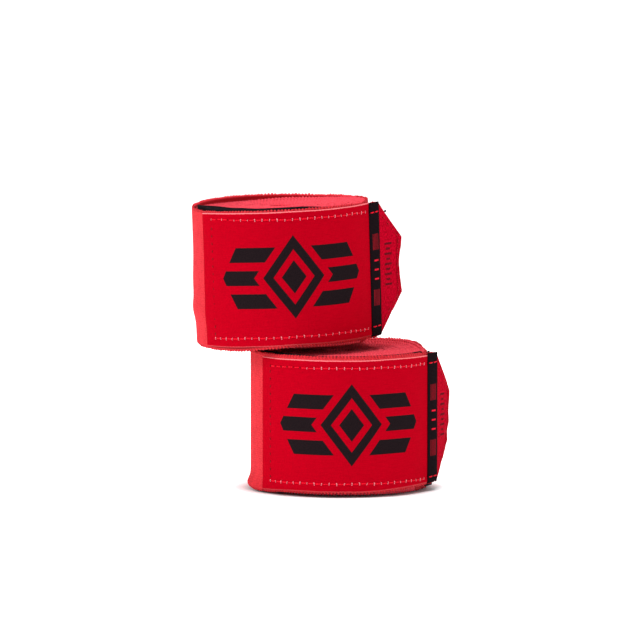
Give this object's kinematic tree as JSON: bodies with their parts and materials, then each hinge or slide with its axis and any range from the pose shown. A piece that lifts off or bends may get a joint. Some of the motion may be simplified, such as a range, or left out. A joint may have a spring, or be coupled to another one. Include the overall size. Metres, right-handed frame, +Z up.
{
  "type": "rolled hand wrap pair",
  "caption": "Rolled hand wraps of stretch webbing, stacked, each closed by a hook-and-loop flap with a stitched label, ribbon and pull tab.",
  "frame": {"origin": "the lower roll's axis, on the surface that it stands on", "axes": "+Z up along both rolls' axes, +X towards the pull tabs' side, -Y towards the labels' side"},
  "size_m": [0.0991, 0.0758, 0.108],
  "materials": {
    "webbing": "matt woven semi-elastic cotton and polyester webbing",
    "loop_tape": "matt brushed loop pile",
    "hook_tape": "matt moulded nylon hooks on a woven base",
    "label_satin": "low-sheen satin weave",
    "ribbon": "matt woven ribbon with fine coloured lines",
    "thread": "twisted polyester thread",
    "thumb_strap": "matt narrow woven strap"
  },
  "bodies": {
    "lower_roll": {"lower_wound_webbing": "webbing", "lower_loop_tape": "loop_tape", "lower_loop_tape_stitching": "thread", "lower_thumb_loop": "thumb_strap", "lower_thumb_loop_bartack": "thread"},
    "lower_flap": {"lower_closure_webbing": "webbing", "lower_hook_tape": "hook_tape", "lower_label": "label_satin", "lower_label_stitching": "thread", "lower_ribbon": "ribbon", "lower_ribbon_stitching": "thread"},
    "lower_tab": {"lower_pull_tab": "label_satin", "lower_tab_stitching": "thread"},
    "upper_roll": {"upper_wound_webbing": "webbing", "upper_loop_tape": "loop_tape", "upper_loop_tape_stitching": "thread", "upper_thumb_loop": "thumb_strap", "upper_thumb_loop_bartack": "thread"},
    "upper_flap": {"upper_closure_webbing": "webbing", "upper_hook_tape": "hook_tape", "upper_label": "label_satin", "upper_label_stitching": "thread", "upper_ribbon": "ribbon", "upper_ribbon_stitching": "thread"},
    "upper_tab": {"upper_pull_tab": "label_satin", "upper_tab_stitching": "thread"}
  },
  "joints": [
    {"name": "upper_roll_lift", "type": "slide", "parent": "lower_roll", "child": "upper_roll", "axis": [0, 0, 1], "range_m": [0, 0.06]},
    {"name": "lower_flap_peel", "type": "hinge", "parent": "lower_roll", "child": "lower_flap", "pos_m": [-0.0293, -0.01726, 0.027], "axis": [0, 0, -1], "range_deg": [0, 100]},
    {"name": "lower_tab_bend", "type": "hinge", "parent": "lower_flap", "child": "lower_tab", "pos_m": [0.0358, -0.00739, 0.027], "axis": [0, 0, -1], "range_deg": [-10, 75]},
    {"name": "upper_flap_peel", "type": "hinge", "parent": "upper_roll", "child": "upper_flap", "pos_m": [-0.05047, -0.00926, 0.07971], "axis": [0.0366, 0, -0.9993], "range_deg": [0, 100]},
    {"name": "upper_tab_bend", "type": "hinge", "parent": "upper_flap", "child": "upper_tab", "pos_m": [0.01459, 0.00061, 0.0821], "axis": [0.0366, 0, -0.9993], "range_deg": [-10, 75]}
  ]
}
